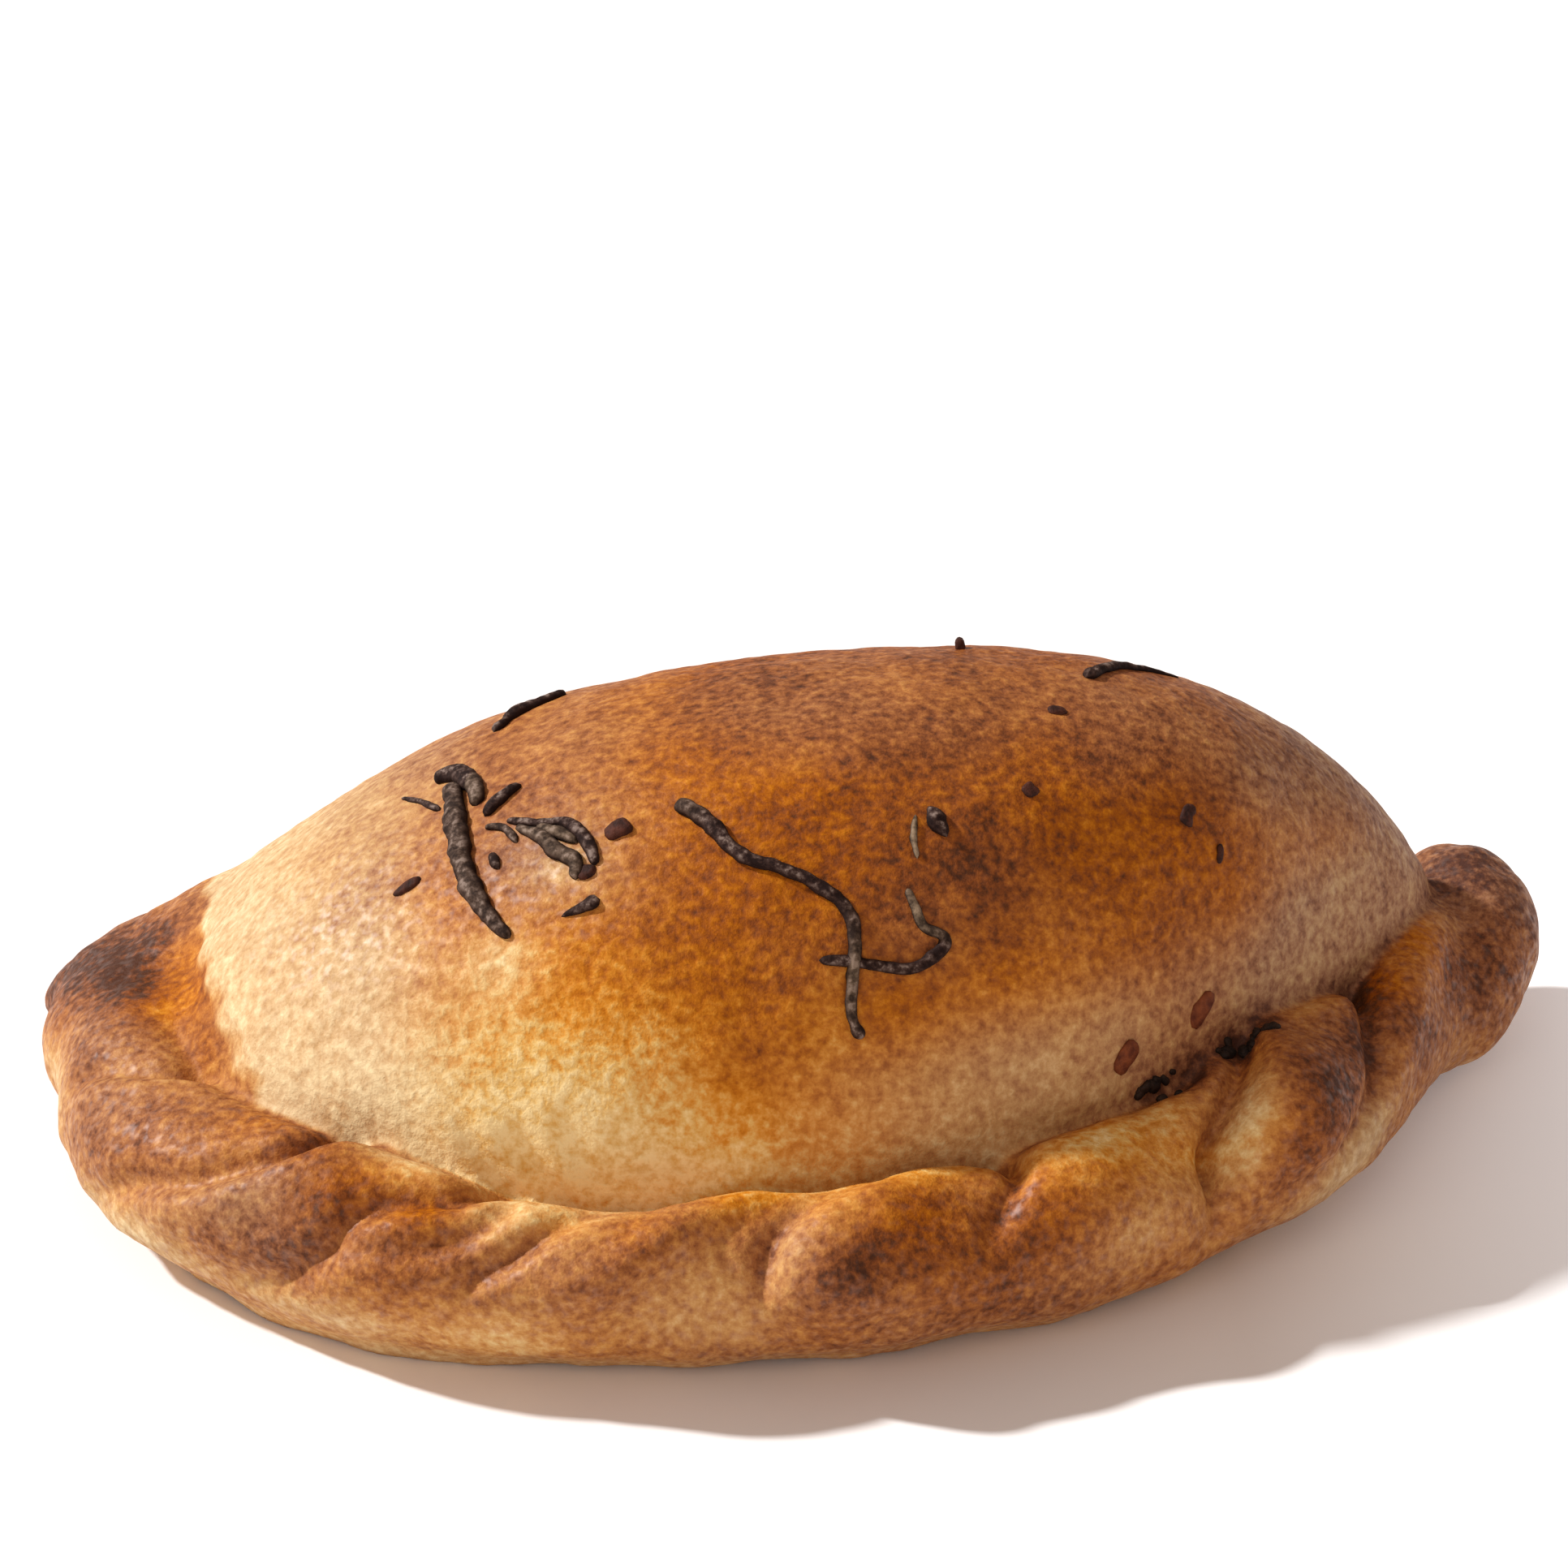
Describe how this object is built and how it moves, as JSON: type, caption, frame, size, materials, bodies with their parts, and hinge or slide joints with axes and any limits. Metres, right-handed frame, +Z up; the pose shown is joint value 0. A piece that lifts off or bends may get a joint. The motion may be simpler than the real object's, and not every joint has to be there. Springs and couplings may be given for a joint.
{
  "type": "empanada",
  "caption": "Baked half-moon empanada: a plump domed pocket of dough with a rope-folded rim round its curved side, a pinched nose, a rolled knob and a flat base.",
  "frame": {"origin": "middle of the bounding box, on the flat base that the pie rests on", "axes": "+X along the length from the pinched nose to the rolled knob, -Y towards the rope-folded rim, +Z up"},
  "size_m": [0.1368, 0.0734, 0.043],
  "materials": {
    "crust": "baked golden-brown crust with a thin satin egg glaze, cream where pale and dark brown on the tips"
  },
  "bodies": {
    "root": {"dough": "crust"}
  },
  "joints": []
}
